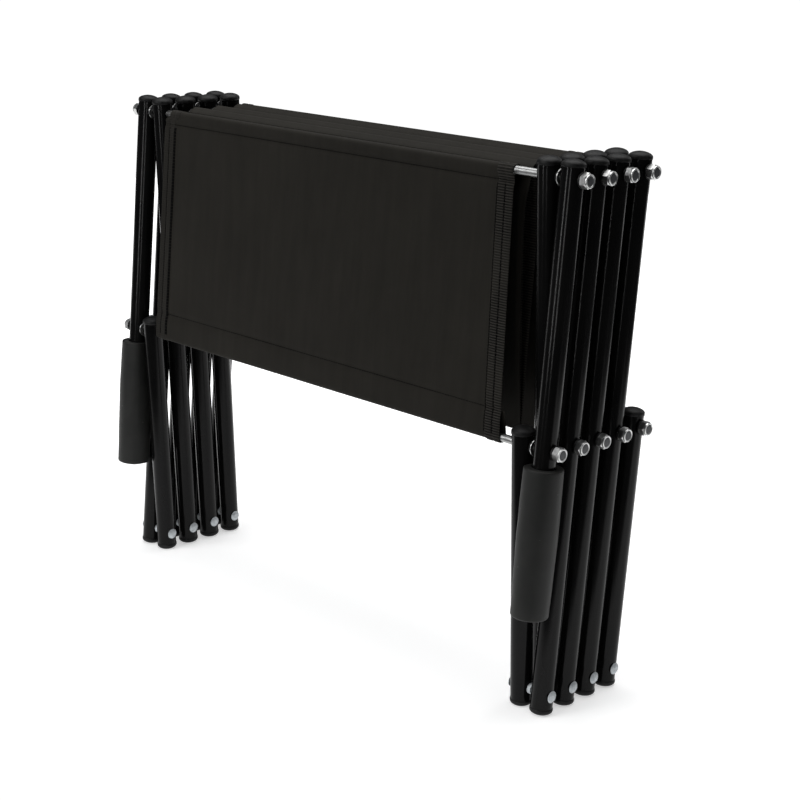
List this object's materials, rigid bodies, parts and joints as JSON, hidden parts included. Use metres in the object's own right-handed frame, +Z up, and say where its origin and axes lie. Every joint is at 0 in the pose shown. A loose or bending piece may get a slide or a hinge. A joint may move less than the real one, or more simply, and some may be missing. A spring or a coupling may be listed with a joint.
{
  "type": "folding cot",
  "caption": "Low camping bed with an accordion scissor frame of painted tubes and a canvas bed, folded upright and standing on its feet.",
  "frame": {"origin": "on the floor, under the middle of the folded cot", "axes": "+X across the cot to the side with the bare rod ends, +Y from the grips towards the rear, +Z up"},
  "size_m": [0.66, 0.1718, 0.5364],
  "materials": {
    "black_paint": "satin black powder coat",
    "black_plastic": "moulded, slightly glossy",
    "zinc_steel": "bright zinc plate",
    "zinc_nuts": "bright zinc plate with a grey nylon insert",
    "rivets": "plain aluminium, pressed",
    "foam": "matte closed-cell foam",
    "canvas": "coated polyester canvas with a fine plain weave"
  },
  "bodies": {
    "foot_pivot": {"foot_rivets_2": "rivets"},
    "outer_1": {"outer_bar_1_left": "black_paint", "outer_bar_1_right": "black_paint", "outer_caps_1": "black_plastic", "front_rods": "zinc_steel", "lock_nuts_1": "zinc_nuts", "spacer_washers_1": "zinc_steel", "foam_grips": "foam", "canvas_front_panel": "canvas"},
    "inner_1": {"inner_bar_1_left": "black_paint", "inner_bar_1_right": "black_paint", "inner_caps_1": "black_plastic"},
    "outer_2": {"outer_bar_2_left": "black_paint", "outer_bar_2_right": "black_paint", "outer_caps_2": "black_plastic", "top_rod_2": "zinc_steel", "pivot_bolts_2": "zinc_steel", "lock_nuts_2": "zinc_nuts", "spacer_washers_2": "zinc_steel", "foot_rivets_1": "rivets"},
    "inner_2": {"inner_bar_2_left": "black_paint", "inner_bar_2_right": "black_paint", "inner_caps_2": "black_plastic"},
    "outer_3": {"outer_bar_3_left": "black_paint", "outer_bar_3_right": "black_paint", "outer_caps_3": "black_plastic", "top_rod_3": "zinc_steel", "pivot_bolts_3": "zinc_steel", "lock_nuts_3": "zinc_nuts", "spacer_washers_3": "zinc_steel"},
    "inner_3": {"inner_bar_3_left": "black_paint", "inner_bar_3_right": "black_paint", "inner_caps_3": "black_plastic"},
    "outer_4": {"outer_bar_4_left": "black_paint", "outer_bar_4_right": "black_paint", "outer_caps_4": "black_plastic", "pivot_bolts_4": "zinc_steel", "lock_nuts_4": "zinc_nuts", "spacer_washers_4": "zinc_steel", "foot_rivets_3": "rivets"},
    "inner_4": {"inner_bar_4_left": "black_paint", "inner_bar_4_right": "black_paint", "inner_caps_4": "black_plastic"},
    "outer_5": {"outer_bar_5_left": "black_paint", "outer_bar_5_right": "black_paint", "outer_caps_5": "black_plastic", "foot_rivets_4": "rivets"},
    "inner_5": {"inner_bar_5_left": "black_paint", "inner_bar_5_right": "black_paint", "inner_caps_5": "black_plastic", "rear_rods": "zinc_steel", "lock_nuts_5": "zinc_nuts", "spacer_washers_5": "zinc_steel", "canvas_rear_panel": "canvas"},
    "pleat_1_front": {"canvas_pleat_1_front": "canvas"},
    "pleat_1_rear": {"canvas_pleat_1_rear": "canvas"},
    "pleat_2_front": {"canvas_pleat_2_front": "canvas"},
    "pleat_2_rear": {"canvas_pleat_2_rear": "canvas"},
    "pleat_3_front": {"canvas_pleat_3_front": "canvas"},
    "pleat_3_rear": {"canvas_pleat_3_rear": "canvas"}
  },
  "joints": [
    {"name": "frame_fold", "type": "hinge", "parent": "foot_pivot", "child": "outer_3", "pos_m": [0, -0.00765, 0.02], "axis": [-1, 0, 0], "range_deg": [0, 66.27]},
    {"name": "middle_pivot_3", "type": "hinge", "parent": "outer_3", "child": "inner_3", "pos_m": [0, 0.0086, 0.26947], "axis": [1, 0, 0], "range_deg": [0, 134]},
    {"name": "top_pivot_2", "type": "hinge", "parent": "inner_3", "child": "outer_2", "pos_m": [0, -0.00765, 0.51894], "axis": [-1, 0, 0], "range_deg": [0, 134]},
    {"name": "middle_pivot_2", "type": "hinge", "parent": "outer_2", "child": "inner_2", "pos_m": [0, -0.0239, 0.26947], "axis": [1, 0, 0], "range_deg": [0, 134]},
    {"name": "top_pivot_1", "type": "hinge", "parent": "inner_2", "child": "outer_1", "pos_m": [0, -0.04015, 0.51894], "axis": [-1, 0, 0], "range_deg": [0, 134]},
    {"name": "middle_pivot_1", "type": "hinge", "parent": "outer_1", "child": "inner_1", "pos_m": [0, -0.0564, 0.26947], "axis": [1, 0, 0], "range_deg": [0, 134]},
    {"name": "top_pivot_3", "type": "hinge", "parent": "outer_3", "child": "inner_4", "pos_m": [0, 0.02485, 0.51894], "axis": [1, 0, 0], "range_deg": [0, 134]},
    {"name": "middle_pivot_4", "type": "hinge", "parent": "inner_4", "child": "outer_4", "pos_m": [0, 0.0411, 0.26947], "axis": [-1, 0, 0], "range_deg": [0, 134]},
    {"name": "top_pivot_4", "type": "hinge", "parent": "outer_4", "child": "inner_5", "pos_m": [0, 0.05735, 0.51894], "axis": [1, 0, 0], "range_deg": [0, 134]},
    {"name": "middle_pivot_5", "type": "hinge", "parent": "inner_5", "child": "outer_5", "pos_m": [0, 0.0736, 0.26947], "axis": [-1, 0, 0], "range_deg": [0, 134]},
    {"name": "pleat_1_front_swing", "type": "hinge", "parent": "outer_1", "child": "pleat_1_front", "pos_m": [0, -0.04015, 0.51894], "axis": [1, 0, 0], "range_deg": [0, 155], "deforming": ["canvas_pleat_1_front"]},
    {"name": "pleat_1_rear_swing", "type": "hinge", "parent": "outer_2", "child": "pleat_1_rear", "pos_m": [0, -0.00765, 0.51894], "axis": [-1, 0, 0], "range_deg": [0, 23], "deforming": ["canvas_pleat_1_rear"]},
    {"name": "pleat_2_front_swing", "type": "hinge", "parent": "outer_2", "child": "pleat_2_front", "pos_m": [0, -0.00765, 0.51894], "axis": [1, 0, 0], "range_deg": [0, 155], "deforming": ["canvas_pleat_2_front"]},
    {"name": "pleat_2_rear_swing", "type": "hinge", "parent": "outer_3", "child": "pleat_2_rear", "pos_m": [0, 0.02485, 0.51894], "axis": [-1, 0, 0], "range_deg": [0, 23], "deforming": ["canvas_pleat_2_rear"]},
    {"name": "pleat_3_front_swing", "type": "hinge", "parent": "outer_3", "child": "pleat_3_front", "pos_m": [0, 0.02485, 0.51894], "axis": [1, 0, 0], "range_deg": [0, 155], "deforming": ["canvas_pleat_3_front"]},
    {"name": "pleat_3_rear_swing", "type": "hinge", "parent": "outer_4", "child": "pleat_3_rear", "pos_m": [0, 0.05735, 0.51894], "axis": [-1, 0, 0], "range_deg": [0, 23], "deforming": ["canvas_pleat_3_rear"]}
  ],
  "couplings": [
    {"joint": "middle_pivot_3", "follows": "frame_fold", "ratio": 2},
    {"joint": "top_pivot_2", "follows": "frame_fold", "ratio": 2},
    {"joint": "middle_pivot_2", "follows": "frame_fold", "ratio": 2},
    {"joint": "top_pivot_1", "follows": "frame_fold", "ratio": 2},
    {"joint": "middle_pivot_1", "follows": "frame_fold", "ratio": 2},
    {"joint": "top_pivot_3", "follows": "frame_fold", "ratio": 2},
    {"joint": "middle_pivot_4", "follows": "frame_fold", "ratio": 2},
    {"joint": "top_pivot_4", "follows": "frame_fold", "ratio": 2},
    {"joint": "middle_pivot_5", "follows": "frame_fold", "ratio": 2},
    {"joint": "pleat_1_front_swing", "follows": "frame_fold", "ratio": 2.3191},
    {"joint": "pleat_1_rear_swing", "follows": "frame_fold", "ratio": 0.31915},
    {"joint": "pleat_2_front_swing", "follows": "frame_fold", "ratio": 2.3191},
    {"joint": "pleat_2_rear_swing", "follows": "frame_fold", "ratio": 0.31915},
    {"joint": "pleat_3_front_swing", "follows": "frame_fold", "ratio": 2.3191},
    {"joint": "pleat_3_rear_swing", "follows": "frame_fold", "ratio": 0.31915}
  ]
}
